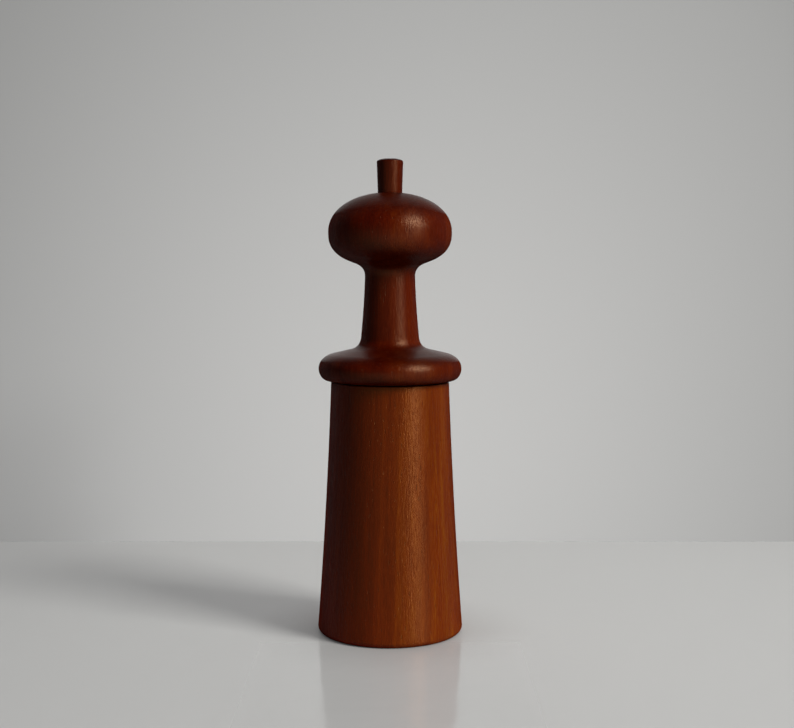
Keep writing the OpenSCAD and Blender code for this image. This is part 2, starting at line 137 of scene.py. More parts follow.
# centre and reach of the painted pool of light on the floor and on the wall, how much paler they show
# than they are lit, and the share of their light that they throw on the mill from near and far, which near
# the mill is more than they get: painted bounce light
FLOOR = dict(centre=(0.04, -0.05, 0.0), reach=(0.85, 1.20, 1.0), lift=0.165, scatter=(1.8, 0.42))
WALL = dict(centre=(-0.03, -2.99, 0.0), reach=(0.40, 0.48, 1.0), lift=0.17, scatter=(0.9, 0.9))
NEAR_AND_FAR = (0.035, 0.14)
# the least level that is left away from the painted pool of light, and how the wall's painted light darkens
# outwards
FLOOR_LEAST = 0.85
WALL_LEAST_SEEN = 0.48
WALL_DARKENS = (0.85, 1.7, 1.0, 0.35)
# the floor's glaze is worn behind the mill and beside it: where, and its roughness, its
# mirroring and its paleness, clean and worn
WORN_BEHIND = (-0.045, 0.010)
WORN_BESIDE = (0.045, 0.080)
GLAZE_ROUGHNESS = (0.13, 0.60)
GLAZE_MIRRORS = (0.50, 0.10)
GLAZE_PALENESS = (1.0, 1.3)
GLAZE_RIPPLE = 0.0004
FAR_FLOOR_PALER = (0.6, 2.5, 1.0, 2.3)
# reach of the painted contact shadow round the foot
FOOT_SHADE = 0.04

# the window, and a weak lamp for the side that it doesn't reach
LAMPS = {
    "window": dict(azimuth=56, elevation=35, size=(0.66, 0.90), power=42, tint=(1.0, 0.99, 0.97)),
    "far_side": dict(azimuth=200, elevation=25, size=(1.2, 1.2), power=28),
}
LAMP_DISTANCE = 2.0
ROOM_SHOWS = 6.0


def length(name, description, default, low=0.0):
    """A length that a user may change."""
    return FloatProperty(name=name, description=description, default=default, min=low,
                         unit="LENGTH", subtype="DISTANCE", precision=5)


def colour(name, description, default, high=1.0):
    """A linear colour that a user may change."""
    return FloatVectorProperty(name=name, description=description, default=default, size=3,
                               min=0.0, max=high, subtype="COLOR")


def share(name, description, default, high=1.0):
    """A plain number from nought up."""
    return FloatProperty(name=name, description=description, default=default, min=0.0, max=high)


class BarrelSizes(bpy.types.PropertyGroup):
    """Sizes of the turned barrel"""

    height: length("Height", "From the table to the rim", BARREL_HIGH.z)
    foot_radius: length("Foot radius", "Half the width of the foot", BARREL_HIGH.x)
    rim_radius: length("Rim radius", "Half the width of the rim", 0.0276)
    waist_sag: length("Waist", "How far the wall draws in half way up", 0.0006)
    foot_round: length("Foot rounding", "Rounding of the foot's outer edge", 0.0026)
    edge_break: length("Edge break", "Rounding of the other turned edges", 0.0007)
    chamber_radius: length("Chamber radius", "Half the width of the grain chamber", 0.018)
    seat_radius: length("Seat radius", "Half the width of the grinding ring's seat", STATOR_HIGH.x)
    recess_radius: length("Recess radius", "Half the width of the recess below", 0.026)


class HeadSizes(bpy.types.PropertyGroup):
    """Sizes of the turned head"""

    step_height: length("Step height", "Height of the shadow step under the disc", 0.0004)
    step_radius: length("Step radius", "Radius of the shadow step", 0.0270)
    disc_low_width: length("Disc rounding below, width", "Width of the rounding under the disc", 0.0042)
    disc_low_height: length("Disc rounding below, height", "Height of that rounding", 0.0055)
    disc_top_width: length("Disc rounding on top, width", "Width of the rounding on top", 0.0088)
    disc_top_height: length("Disc rounding on top, height", "Height of that rounding", 0.0071)
    shoulder_slope: share("Shoulder slope", "Rise of the disc's top towards the neck", 0.235)
    neck_foot_radius: length("Neck foot radius", "Radius of the neck above the disc", 0.0140)
    neck_radius: length("Neck radius", "Radius of the neck under the bulb", 0.0116)
    neck_power: share("Neck widening", "How the neck widens towards its foot, 1 is a cone", 1.6, 4.0)
    foot_fillet: length("Foot fillet", "Hollow where the neck leaves the disc", 0.0046)
    top_fillet: length("Top fillet", "Hollow where the neck meets the bulb", 0.0042)
    bulb_rise: length("Bulb rise", "Height of the bulb's widest line above the rim", 0.0694)
    bulb_radius: length("Bulb radius", "Half the width of the bulb", 0.02875)
    bulb_top_height: length("Bulb top", "Height of the bulb above its widest line", 0.0185)
    bulb_low_height: length("Bulb underside", "Depth of the bulb below its widest line", 0.0158)
    bulb_top_power: share("Top fullness", "Fullness of the upper half, 2 is an ellipse", 2.13, 4.0)
    bulb_low_power: share("Underside fullness", "Fullness of the lower half", 2.5, 4.0)
    cone_radius: length("Cone radius", "Where the bulb's underside turns straight", 0.0193)
    salt_radius: length("Salt bore radius", "Half the width of the salt bore", 0.008)


class StopperSizes(bpy.types.PropertyGroup):
    """Sizes of the wooden stopper"""

    radius: length("Radius", "Radius where the stopper leaves the bulb", 0.00565)
    taper: share("Taper", "Gain in radius for each unit of height", 0.0325)
    show: length("Show", "How far it stands out of the bulb", 0.0155)
    crown: length("Crown", "Height of the domed end", 0.0016)
    crown_power: share("Crown fullness", "Fullness of the domed end, 2 is an ellipse", 2.4, 6.0)
    play: length("Play", "Radial play in the bulb", 0.00006)


class SpringSizes(bpy.types.PropertyGroup):
    """Sizes of the coil spring over the grinding cone"""

    wire: length("Wire", "Diameter of the wire", 0.0012)
    turns: IntProperty(name="Turns", description="All turns, with the two closed ones", default=6, min=3)
    steps: IntProperty(name="Steps", description="Steps in each turn", default=36, min=12)


class TeakFinish(bpy.types.PropertyGroup):
    """Colours and figure of the oiled teak"""

    dark: colour("Dark grain", "The darkest grain lines", (0.095, 0.0038, 0.0003))
    middle: colour("Middle grain", "The main colour of the wood", (0.158, 0.0080, 0.0004))
    light: colour("Light grain", "The palest grain", (0.222, 0.0205, 0.0010))
    pore: colour("Pores", "The colour in the open pores", (0.045, 0.0040, 0.0003))
    # painted light and shade: the shade tints darken and redden the side away from the window lamp, and the
    # lit tints make the side that it falls on paler and more orange
    barrel_shade_tint: colour("Heart side", "Tint of the plank's left side", (0.76, 0.85, 0.50), 4.0)
    barrel_lit_tint: colour("Bark side", "Tint of the plank's right side", (0.98, 2.60, 1.00), 4.0)
    head_shade_tint: colour("Head heart side", "The same on the head", (0.98, 1.15, 0.80), 2.0)
    head_lit_tint: colour("Head bark side", "The same on the head", (0.95, 1.55, 0.80), 2.0)
    barrel_gloss_colour: colour("Barrel gloss colour", "Tint of the barrel's gloss", (1.0, 0.42, 0.135))
    head_gloss_colour: colour("Head gloss colour", "Tint of the head's gloss", (1.0, 0.57, 0.31))
    barrel_gloss: share("Barrel gloss", "Strength of the barrel's gloss", 1.12, 2.0)
    head_gloss: share("Head gloss", "Strength of the head's gloss", 0.54, 2.0)
    head_tone: share("Head tone", "Tone of the head beside the barrel's", 0.60)
    stopper_tone: share("Stopper tone", "Tone of the stopper beside the barrel's", 0.46)
    # how dark upward faces are made
    upward_darkening: share("End grain", "Tone of upward faces, where the grain is cut across", 0.45)
    shoulder_polish: share("Shoulder polish", "Gloss left on upward faces at a glancing view", 0.3)
    ring_spacing: length("Ring spacing", "Distance between growth rings", 0.0042)
    roughness: share("Roughness", "Roughness of the oiled surface", 0.32)
    barrel_fade: share("Barrel fade", "How fast the barrel's gloss fades at a glancing view", 5.0, 9.0)
    head_fade: share("Head fade", "The same on the head", 4.5, 9.0)
    barrel_marks: share("Barrel lathe marks", "How far the sanding rings stretch a highlight", 0.92)
    head_marks: share("Head lathe marks", "The same on the worn head", 0.72)


class StageLook(bpy.types.PropertyGroup):
    """Floor, wall, room light and camera"""

    floor: colour("Floor", "Colour of the table top", (0.39, 0.39, 0.38))
    wall: colour("Wall", "Colour of the wall", (0.67, 0.675, 0.67))
    room: colour("Room", "Colour of the room's dim light", (0.07, 0.07, 0.07))
    wall_distance: length("Wall distance", "From the mill's axis to the wall", 0.200)
    eye_distance: length("Eye distance", "From the mill's axis to the camera", 0.6305)
    eye_height: length("Eye height", "Height of the camera above the table", 0.1748)
    eye_offset: length("Eye offset", "How far the camera stands to the right", 0.00325)
    eye_pitch: FloatProperty(name="Pitch", description="How far the camera looks down",
                             default=math.radians(4.40), subtype="ANGLE", unit="ROTATION")
    lens: FloatProperty(name="Lens", description="Focal length in millimetres", default=61.25, min=10.0)


GROUPS = {
    "mill_barrel": BarrelSizes,
    "mill_head": HeadSizes,
    "mill_stopper": StopperSizes,
    "mill_spring": SpringSizes,
    "mill_teak": TeakFinish,
    "mill_stage": StageLook,
}


# Outlines of the turned pieces, as points of (radius, height)


def arc(centre, half, start, end, steps):
    """Points of an elliptic arc with half axes half, between two angles in degrees."""
    turns = (math.radians(start + (end - start) * i / steps) for i in range(steps + 1))
    return [(centre[0] + half[0] * math.cos(t), centre[1] + half[1] * math.sin(t)) for t in turns]


def swell(centre, half, power, start, end, steps):
    """Points of a fuller ellipse, between two angles in radians."""
    points = []
    for i in range(steps + 1):
        turn = start + (end - start) * i / steps
        across = max(math.cos(turn), 0.0) ** (2 / power)
        up = math.copysign(abs(math.sin(turn)) ** (2 / power), math.sin(turn))
        points.append((centre[0] + half[0] * across, centre[1] + half[1] * up))
    return points


def swell_height(radius, half, power):
    """Height of that ellipse above its centre at a radius."""
    return half[1] * (1 - (radius / half[0]) ** power) ** (1 / power)


def swell_slope(radius, half, power):
    """Slope of that ellipse at a radius."""
    part = radius / half[0]
    return half[1] / half[0] * part ** (power - 1) * (1 - part ** power) ** (1 / power - 1)


def hollow(start, corner, end, steps):
    """Points of the curve that leaves start towards corner and reaches end from it."""
    points = []
    for i in range(steps + 1):
        t = i / steps
        parts = ((1 - t) ** 2, 2 * t * (1 - t), t * t)
        points.append(tuple(sum(k * p[axis] for k, p in zip(parts, (start, corner, end)))
                            for axis in (0, 1)))
    return points


def rounded(corner, before, after, size, steps=4):
    """Points that round a corner between the directions of its neighbours."""
    here, back, on = Vector(corner), Vector(before), Vector(after)
    start = here + (back - here).normalized() * size
    end = here + (on - here).normalized() * size
    return hollow(tuple(start), corner, tuple(end), steps)


def soften(corners, size):
    """An outline of corners with each of them rounded, apart from the first and the last."""
    points = [corners[0]]
    for before, corner, after in zip(corners, corners[1:], corners[2:]):
        points += rounded(corner, before, after, size)
    return points + [corners[-1]]


def barrel_outline(sizes):
    """The barrel's closed section, from its foot up the outside and down through the bore."""
    foot, rim, brk = sizes.foot_radius, sizes.rim_radius, sizes.edge_break
    low = sizes.foot_round
    outside = arc((foot - low, low), (low, low), -90, 0, 12)
    wall_steps = 60
    for i in range(1, wall_steps + 1):
        t = i / wall_steps
        outside.append((foot + (rim - foot) * t - 4 * sizes.waist_sag * t * (1 - t),
                        low + (sizes.height - brk - low) * t))
    ledge = UPPER_BRIDGE_HIGH.z
    inside = soften([
        (rim - brk * 0.6, sizes.height),
        (sizes.chamber_radius, sizes.height),
        (sizes.chamber_radius, ledge),
        (sizes.seat_radius, ledge),
        (sizes.seat_radius, STATOR_LOW.z),
        (sizes.recess_radius, STATOR_LOW.z),
        (sizes.recess_radius, 0.0),
        (foot - low, 0.0),
    ], brk / 2)
    rim_round = hollow(outside[-1], (rim, sizes.height), inside[0], 5)
    return outside + rim_round + inside


def neck_radius(height, sizes, foot_height, top_height):
    """The neck draws in along a power curve from its foot to the bulb."""
    part = (top_height - height) / (top_height - foot_height)
    return sizes.neck_radius + (sizes.neck_foot_radius - sizes.neck_radius) * part ** sizes.neck_power


def stopper_radius(height, sizes):
    """Radius of the tapered stopper at a height."""
    return sizes.radius + sizes.taper * (height - HEAD_HIGH.z)


def head_outside(sizes, hole_radius):
    """The head's outer wall, from the disc's underside to the stopper's hole."""
    disc = HEAD_HIGH.x
    disc_height = HEAD_SEAM + sizes.step_height + sizes.disc_low_height
    bulb_height = BARREL_HIGH.z + sizes.bulb_rise
    top_half = (sizes.disc_top_width, sizes.disc_top_height)
    round_end = math.degrees(math.atan(top_half[1] / (top_half[0] * sizes.shoulder_slope)))
    below = arc((disc - sizes.disc_low_width, disc_height),
                (sizes.disc_low_width, sizes.disc_low_height), -90, 0, 20)
    above = arc((disc - top_half[0], disc_height), top_half, 0, round_end, 24)
    crest = above[-1]
    fillet_radius = sizes.neck_foot_radius + sizes.foot_fillet
    fillet_height = crest[1] + (crest[0] - fillet_radius) * sizes.shoulder_slope
    corner_height = fillet_height + sizes.foot_fillet * sizes.shoulder_slope
    under = (sizes.bulb_radius, sizes.bulb_low_height)
    slope = swell_slope(sizes.cone_radius, under, sizes.bulb_low_power)
    cone_height = bulb_height - swell_height(sizes.cone_radius, under, sizes.bulb_low_power)
    meet_height = cone_height - (sizes.cone_radius - sizes.neck_radius) * slope

    def neck(height):
        return (neck_radius(height, sizes, corner_height, meet_height), height)

    low, high = corner_height + sizes.foot_fillet, meet_height - sizes.top_fillet
    foot = hollow((fillet_radius, fillet_height), (sizes.neck_foot_radius, corner_height), neck(low), 16)
    stem = [neck(low + (high - low) * i / 30) for i in range(1, 30)]
    throat = hollow(neck(high), (sizes.neck_radius, meet_height),
                    (sizes.neck_radius + sizes.top_fillet, meet_height + sizes.top_fillet * slope), 16)
    cone_turn = -math.acos((sizes.cone_radius / sizes.bulb_radius) ** (sizes.bulb_low_power / 2))
    hole_turn = math.acos((hole_radius / sizes.bulb_radius) ** (sizes.bulb_top_power / 2))
    belly = swell((0, bulb_height), under, sizes.bulb_low_power, cone_turn, 0, 30)
    dome = swell((0, bulb_height), (sizes.bulb_radius, sizes.bulb_top_height),
                 sizes.bulb_top_power, 0, hole_turn, 44)
    return below + above + foot + stem + throat + belly + dome


def head_outline(sizes, stopper, barrel):
    """The head's closed section, up the outside and down through the salt bore."""
    play = stopper.play
    spigot = barrel.chamber_radius - play
    hole_foot = stopper_radius(STOPPER_LOW.z, stopper) + play
    pocket = CLIP_PLAY - CLIP_LOW.y
    outside = head_outside(sizes, stopper.radius + play)
    inside = [
        (hole_foot, STOPPER_LOW.z),
        (sizes.salt_radius, STOPPER_LOW.z - sizes.salt_radius / 2),
        (sizes.salt_radius, CLIP_HIGH.z),
        (pocket, CLIP_HIGH.z),
        (pocket, PLATE_HIGH.z),
        (PLATE_HIGH.x, PLATE_HIGH.z),
        (PLATE_HIGH.x, HEAD_LOW.z),
        (spigot, HEAD_LOW.z),
        (spigot, HEAD_SEAM),
        (sizes.step_radius, HEAD_SEAM),
        (sizes.step_radius, HEAD_SEAM + sizes.step_height),
        outside[0],
    ]
    return outside + soften(inside, BORE_EDGE)


def stopper_outline(sizes):
    """The stopper's section, from its end in the bulb to its crown."""
    crown_height = HEAD_HIGH.z + sizes.show - sizes.crown
    shoulder = stopper_radius(crown_height, sizes)
    foot = soften([(0.0, STOPPER_LOW.z), (stopper_radius(STOPPER_LOW.z, sizes), STOPPER_LOW.z),
                   (shoulder, crown_height)], PEG_EDGE)
    dome = swell((0, crown_height), (shoulder, sizes.crown), sizes.crown_power, 0, math.pi / 2, 24)
    return foot[:-1] + dome


# Modelling, as it is done by hand


def clear_selection():
    """Leaves edit mode and deselects everything."""
    if bpy.context.object and bpy.context.object.mode != "OBJECT":
        bpy.ops.object.mode_set(mode="OBJECT")
    bpy.ops.object.select_all(action="DESELECT")


def turn_on_lathe(name, outline, steps):
    """Extrudes a point along an outline and spins it round Z."""
    clear_selection()
    bpy.ops.mesh.primitive_plane_add(size=0.001, location=(outline[0][0], 0, outline[0][1]))
    piece = bpy.context.object
    piece.name = name
    bpy.ops.object.transform_apply(location=True, rotation=True, scale=True)
    bpy.ops.object.mode_set(mode="EDIT")
    bpy.ops.mesh.merge(type="CENTER")
    for here, there in zip(outline, outline[1:]):
        if math.dist(here, there) > 1e-6:
            step = (there[0] - here[0], 0, there[1] - here[1])
            bpy.ops.mesh.extrude_region_move(TRANSFORM_OT_translate={"value": step})
    bpy.ops.mesh.select_all(action="SELECT")
    bpy.ops.mesh.spin(steps=steps, angle=math.tau, center=(0, 0, 0), axis=(0, 0, 1))
    bpy.ops.mesh.select_all(action="SELECT")
    bpy.ops.mesh.remove_doubles(threshold=2e-6)
    bpy.ops.mesh.normals_make_consistent(inside=False)
    bpy.ops.object.mode_set(mode="OBJECT")
    bpy.ops.object.shade_smooth_by_angle(angle=SMOOTH_ANGLE)
    return piece


def fit_out(piece, body, node, material):
    """Gives a piece its material and its body, and hides the node that it stands for."""
    piece.data.materials.clear()
    piece.data.materials.append(material)
    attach(piece, body)
    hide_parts(node)


# Materials


class Shader:
    """Builds a material's nodes from left to right."""

    def __init__(self, name):
        self.material = bpy.data.materials.new(name)
        self.material.use_nodes = True
        self.tree = self.material.node_tree
        self.tree.nodes.clear()
        self.column = 0

    def add(self, kind, settings=None, **inputs):
        """Adds a node, sets its settings, and fills its inputs with values or links."""
        node = self.tree.nodes.new(kind)
        self.column += 1
        node.location = (self.column * 180, 0)
        for key, value in (settings or {}).items():
            setattr(node, key, value)
        for key, value in inputs.items():
            numbered = key[0] == "i" and key[1:].isdigit()
            socket = node.inputs[int(key[1:]) if numbered else key.replace("_", " ")]
            if isinstance(value, bpy.types.NodeSocket):
                self.tree.links.new(value, socket)
            else:
                socket.default_value = value
        return node

    def math(self, operation, first, second=0.0):
        """One step of arithmetic on single values."""
        return self.add("ShaderNodeMath", {"operation": operation}, i0=first, i1=second).outputs[0]

    def vector(self, operation, first, second):
        """One step of arithmetic on vectors."""
        return self.add("ShaderNodeVectorMath", {"operation": operation}, i0=first, i1=second).outputs[0]

    def noise(self, vector, scale, detail=3.0, roughness=0.55):
        """Smooth noise from nought to one."""
        return self.add("ShaderNodeTexNoise", Vector=vector, Scale=scale, Detail=detail,
                        Roughness=roughness).outputs["Fac"]

    def ramp(self, value, low, high, start=0.0, end=1.0):
        """Maps a value from low and high to start and end, smoothly, and holds it between them."""
        node = self.add("ShaderNodeMapRange", {"interpolation_type": "SMOOTHSTEP"}, Value=value)
        node.inputs["From Min"].default_value = low
        node.inputs["From Max"].default_value = high
        node.inputs["To Min"].default_value = start
        node.inputs["To Max"].default_value = end
        return node.outputs[0]

    def blend(self, amount, first, second, kind="MIX"):
        """Mixes two colours."""
        node = self.add("ShaderNodeMix", {"data_type": "RGBA", "blend_type": kind})
        for socket, value in ((node.inputs[0], amount), (node.inputs[6], first), (node.inputs[7], second)):
            if isinstance(value, bpy.types.NodeSocket):
                self.tree.links.new(value, socket)
            else:
                plain = not hasattr(value, "__len__") or len(value) != 3
                socket.default_value = value if plain else (*value, 1.0)
        return node.outputs[2]

    def finish(self, surface):
        """Joins the last shader to the output."""
        out = self.tree.nodes.new("ShaderNodeOutputMaterial")
        out.location = ((self.column + 1) * 180, 0)
        self.tree.links.new(surface.outputs[0], out.inputs[0])
        return self.material


def teak(name, finish, kind, place, tone=1.0):
    """Oiled teak with upright grain.

    kind is barrel or head, whose gloss and painted light and shade tints the piece takes. place is where in
    the plank it was cut, and tone is its tone beside the barrel's.
    """
    keys = ("gloss", "gloss_colour", "marks", "fade", "shade_tint", "lit_tint")
    gloss, gloss_colour, marks, fade, shade_tint, lit_tint = (getattr(finish, f"{kind}_{key}") for key in keys)
    s = Shader(name)
    point = s.add("ShaderNodeTexCoord").outputs["Object"]
    mapping = s.add("ShaderNodeMapping", Vector=point)
    mapping.inputs["Scale"].default_value = (1000, 1000, 1000)
    mapping.inputs["Location"].default_value = place
    mapping.inputs["Rotation"].default_value = (math.radians(1.1), math.radians(-0.7), 0)
    wood = mapping.outputs[0]

    def drawn_out(part, where):
        """Coordinates for a part of the figure, stretched along the grain."""
        across, along = GRAIN[part]
        return s.vector("MULTIPLY", where, (across, across, along))

    # a slow wander, so that no line of the grain is quite straight
    drift = s.add("ShaderNodeTexNoise", Vector=drawn_out("drift", wood), Scale=1.0, Detail=2.0)
    centred = s.vector("SUBTRACT", drift.outputs["Color"], (0.5, 0.5, 0.5))
    grain = s.vector("ADD", wood, s.vector("MULTIPLY", centred, (WANDER, WANDER, 0.0)))

    # growth rings round a pith beside the piece: each ends in a thin dark line
    across = s.vector("MULTIPLY", grain, (1, 1, 0))
    reach = s.add("ShaderNodeVectorMath", {"operation": "LENGTH"}, i0=across).outputs["Value"]
    uneven = s.noise(drawn_out("uneven", grain), 1.0, 2.0)
    years = s.math("DIVIDE", reach, finish.ring_spacing * 1000)
    years = s.math("ADD", years, s.math("MULTIPLY", uneven, 2.6))
    ring = s.math("FRACT", years)
    late = s.math("MULTIPLY", s.ramp(ring, 0.30, 0.95), s.ramp(ring, 1.0, 0.965))

    # broad patches, streaks, fibres and flecks
    parts = {part: s.noise(drawn_out(part, grain), 1.0, detail, rough)
             for part, (_, detail, rough) in FIGURE.items()}
    fibre, fleck = parts["fibre"], parts["fleck"]

    # open pores: short grooves along the grain, widest at the start of each ring
    cell = s.add("ShaderNodeTexVoronoi", {"feature": "F1"}, Scale=1.0, Randomness=1.0,
                 Vector=drawn_out("pore", grain))
    chosen = s.add("ShaderNodeSeparateColor", Color=cell.outputs["Color"]).outputs[0]
    width = s.math("MULTIPLY", s.ramp(chosen, 0.25, 1.0, 0.0, 0.30), s.ramp(ring, 0.1, 0.8, 1.0, 0.6))
    pore = s.ramp(s.math("SUBTRACT", width, cell.outputs["Distance"]), -0.03, 0.10)

    figure = 0.0
    for part, (amount, _, _) in FIGURE.items():
        figure = s.math("ADD", figure, s.math("MULTIPLY", parts[part], amount))
    body = s.blend(s.ramp(figure, 0.34, 0.54), finish.dark, finish.middle)
    body = s.blend(s.ramp(figure, 0.47, 0.70), body, finish.light)
    body = s.blend(s.math("MULTIPLY", late, 0.28), body, finish.dark)
    body = s.blend(s.math("MULTIPLY", pore, 0.55), body, finish.pore)
    body = s.blend(1.0, body, (tone, tone, tone), "MULTIPLY")
    # painted light and shade: from left to right across x the colour goes from the shade tint to the lit
    # tint, as the window lamp on the right would light it
    lamp_side_x = s.add("ShaderNodeSeparateXYZ", Vector=point).outputs[0]
    body = s.blend(1.0, body, s.blend(s.ramp(lamp_side_x, -0.012, 0.020), shade_tint, lit_tint), "MULTIPLY")

    # upward faces are made darker, by how far their normal points up in the object's space
    upright = s.add("ShaderNodeSeparateXYZ", Vector=s.add("ShaderNodeTexCoord").outputs["Normal"]).outputs[2]
    upward_darkening = s.ramp(upright, 0.25, 0.95, 1.0, finish.upward_darkening)
    body = s.blend(1.0, body, upward_darkening, "MULTIPLY")

    # the surface: flecks catch the light, fibres stand a little proud and the pores are sunk
    height = s.math("ADD", s.math("MULTIPLY", fleck, 0.8), s.math("MULTIPLY", fibre, 0.25))
    height = s.math("SUBTRACT", height, s.math("MULTIPLY", pore, 0.5))
    bump = s.add("ShaderNodeBump", Height=height, Strength=1.0, Distance=0.00017)
    rough = s.math("ADD", s.math("MULTIPLY", fleck, 0.16), s.math("MULTIPLY", pore, 0.2))
    rough = s.math("ADD", rough, finish.roughness - 0.08)
    around = s.add("ShaderNodeTangent", {"direction_type": "RADIAL", "axis": "Z"}).outputs[0]
    # open-grained wood hardly mirrors at a glancing view, so the gloss fades towards the edges,
    # apart from upward faces, which hands and cloths have polished
    facing = s.add("ShaderNodeLayerWeight", Blend=0.5).outputs["Facing"]
    direct = s.math("POWER", s.math("SUBTRACT", 1.0, facing), fade)
    polished = s.ramp(upright, 0.55, 0.95, 0.0, finish.shoulder_polish)
    level = s.math("MULTIPLY", s.math("MAXIMUM", direct, polished), gloss)
    level = s.math("MULTIPLY", level, s.ramp(fleck, 0.60, 0.82, 1.0, 1.5))
    surface = s.add("ShaderNodeBsdfPrincipled", Base_Color=body, Roughness=rough, Normal=bump.outputs[0],
                    Tangent=around, Specular_IOR_Level=level)
    surface.inputs["Anisotropic"].default_value = marks
    surface.inputs["Anisotropic Rotation"].default_value = 0.25
    surface.inputs["Specular Tint"].default_value = (*gloss_colour, 1)
    return s.finish(surface)


def metal(name, base, roughness, wear=0.08, lay=(1, 1, 1), depth=0.00002):
    """Metal with fine tool marks. lay stretches the marks along the axes, and wear dulls it in patches."""
    s = Shader(name)
    point = s.add("ShaderNodeTexCoord").outputs["Object"]
    marks = s.noise(s.vector("MULTIPLY", point, tuple(1400 * k for k in lay)), 1.0, 4.0, 0.6)
    patches = s.noise(point, 180.0, 3.0, 0.6)
    tint = s.blend(s.ramp(patches, 0.35, 0.75, 0.0, 1.0), base, tuple(k * 0.72 for k in base))
    rough = s.math("ADD", s.math("MULTIPLY", marks, wear), s.math("MULTIPLY", patches, wear * 2))
    rough = s.math("ADD", rough, roughness - wear)
    bump = s.add("ShaderNodeBump", Height=marks, Strength=0.3, Distance=depth)
    surface = s.add("ShaderNodeBsdfPrincipled", Base_Color=tint, Roughness=rough, Normal=bump.outputs[0])
    surface.inputs["Metallic"].default_value = 1.0
    return s.finish(surface)


class MILL_OT_turn_barrel(bpy.types.Operator):
    """Turns the barrel with its bore, seat and recess"""

    bl_idname = "mill.turn_barrel"
    bl_label = "Turn Barrel"

    def execute(self, context):
        scene = context.scene
        piece = turn_on_lathe("turned_barrel", barrel_outline(scene.mill_barrel), TURNED_STEPS)
        fit_out(piece, "casing", "barrel",
                teak("Barrel teak", scene.mill_teak, "barrel", BARREL_PLACE))
        return {"FINISHED"}


class MILL_OT_turn_head(bpy.types.Operator):
    """Turns the head: spigot, disc, neck and bulb"""

    bl_idname = "mill.turn_head"
    bl_label = "Turn Head"

    def execute(self, context):
        scene = context.scene
        outline = head_outline(scene.mill_head, scene.mill_stopper, scene.mill_barrel)
        piece = turn_on_lathe("turned_head", outline, TURNED_STEPS)
        finish = scene.mill_teak
        fit_out(piece, "head", "head",
                teak("Head teak", finish, "head", HEAD_PLACE, finish.head_tone))
        return {"FINISHED"}


class MILL_OT_turn_stopper(bpy.types.Operator):
    """Turns the tapered stopper"""

    bl_idname = "mill.turn_stopper"
    bl_label = "Turn Stopper"

    def execute(self, context):
        scene = context.scene
        piece = turn_on_lathe("turned_stopper", stopper_outline(scene.mill_stopper), PEG_STEPS)
        finish = scene.mill_teak
        fit_out(piece, "stopper", "salt_stopper",
                teak("Stopper teak", finish, "head", STOPPER_PLACE, finish.stopper_tone))
        return {"FINISHED"}


class MILL_OT_wind_spring(bpy.types.Operator):
    """Winds the spring that presses the grinding cone down"""

    bl_idname = "mill.wind_spring"
    bl_label = "Wind Spring"

    def execute(self, context):
        sizes = context.scene.mill_spring
        half = sizes.wire / 2
        closed = sizes.wire * 1.05
        room = SPRING_HIGH.z - SPRING_LOW.z - sizes.wire
        open_pitch = (room - 2 * closed) / (sizes.turns - 2)
        clear_selection()
        bpy.ops.mesh.primitive_circle_add(vertices=14, radius=half, fill_type="NGON",
                                          location=(SPRING_HIGH.x - half, 0, SPRING_LOW.z + half),
                                          rotation=(math.radians(90), 0, 0))
        piece = context.object
        piece.name = "wound_spring"
        bpy.ops.object.transform_apply(location=True, rotation=True, scale=True)
        bpy.ops.object.mode_set(mode="EDIT")
        bpy.ops.mesh.select_all(action="SELECT")
        for turn in range(sizes.turns):
            pitch = closed if turn in (0, sizes.turns - 1) else open_pitch
            for _ in range(sizes.steps):
                rise = (0, 0, pitch / sizes.steps)
                bpy.ops.mesh.extrude_region_move(TRANSFORM_OT_translate={"value": rise})
                bpy.ops.transform.rotate(value=-math.tau / sizes.steps, orient_axis="Z",
                                         center_override=(0, 0, 0))
        bpy.ops.mesh.select_all(action="SELECT")
        bpy.ops.mesh.normals_make_consistent(inside=False)
        bpy.ops.object.mode_set(mode="OBJECT")
        bpy.ops.object.shade_smooth_by_angle(angle=SMOOTH_ANGLE)
        look = metal("Wound spring steel", **METALS["spring_steel"])
        fit_out(piece, "casing", "burr_spring", look)
        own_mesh(piece)
        return {"FINISHED"}


class MILL_OT_finish_metal(bpy.types.Operator):
    """Gives the construction's own pieces their materials"""

    bl_idname = "mill.finish_metal"
    bl_label = "Finish Metal"

    def execute(self, context):
        slots = {row["node"]: row["material_slot"] for row in frame["record"]["subparts"]}
        made = {slot: metal(slot.replace("_", " ").capitalize(), **look) for slot, look in METALS.items()}
        finish = context.scene.mill_teak
        made["teak_dark"] = teak("Salt floor teak", finish, "head", SALT_FLOOR_PLACE, finish.stopper_tone)
        for node, piece in frame["nodes"].items():
            if slots[node] in made:
                piece.data.materials.clear()
                piece.data.materials.append(made[slots[node]])
        return {"FINISHED"}


def shown_directly(s):
    """One for rays from the camera and for reflections of the stage, nought for scattered light."""
    path = s.add("ShaderNodeLightPath").outputs
    seen = s.math("MAXIMUM", path["Is Camera Ray"], path["Is Glossy Ray"])
    return s.math("MAXIMUM", seen, path["Is Transmission Ray"])


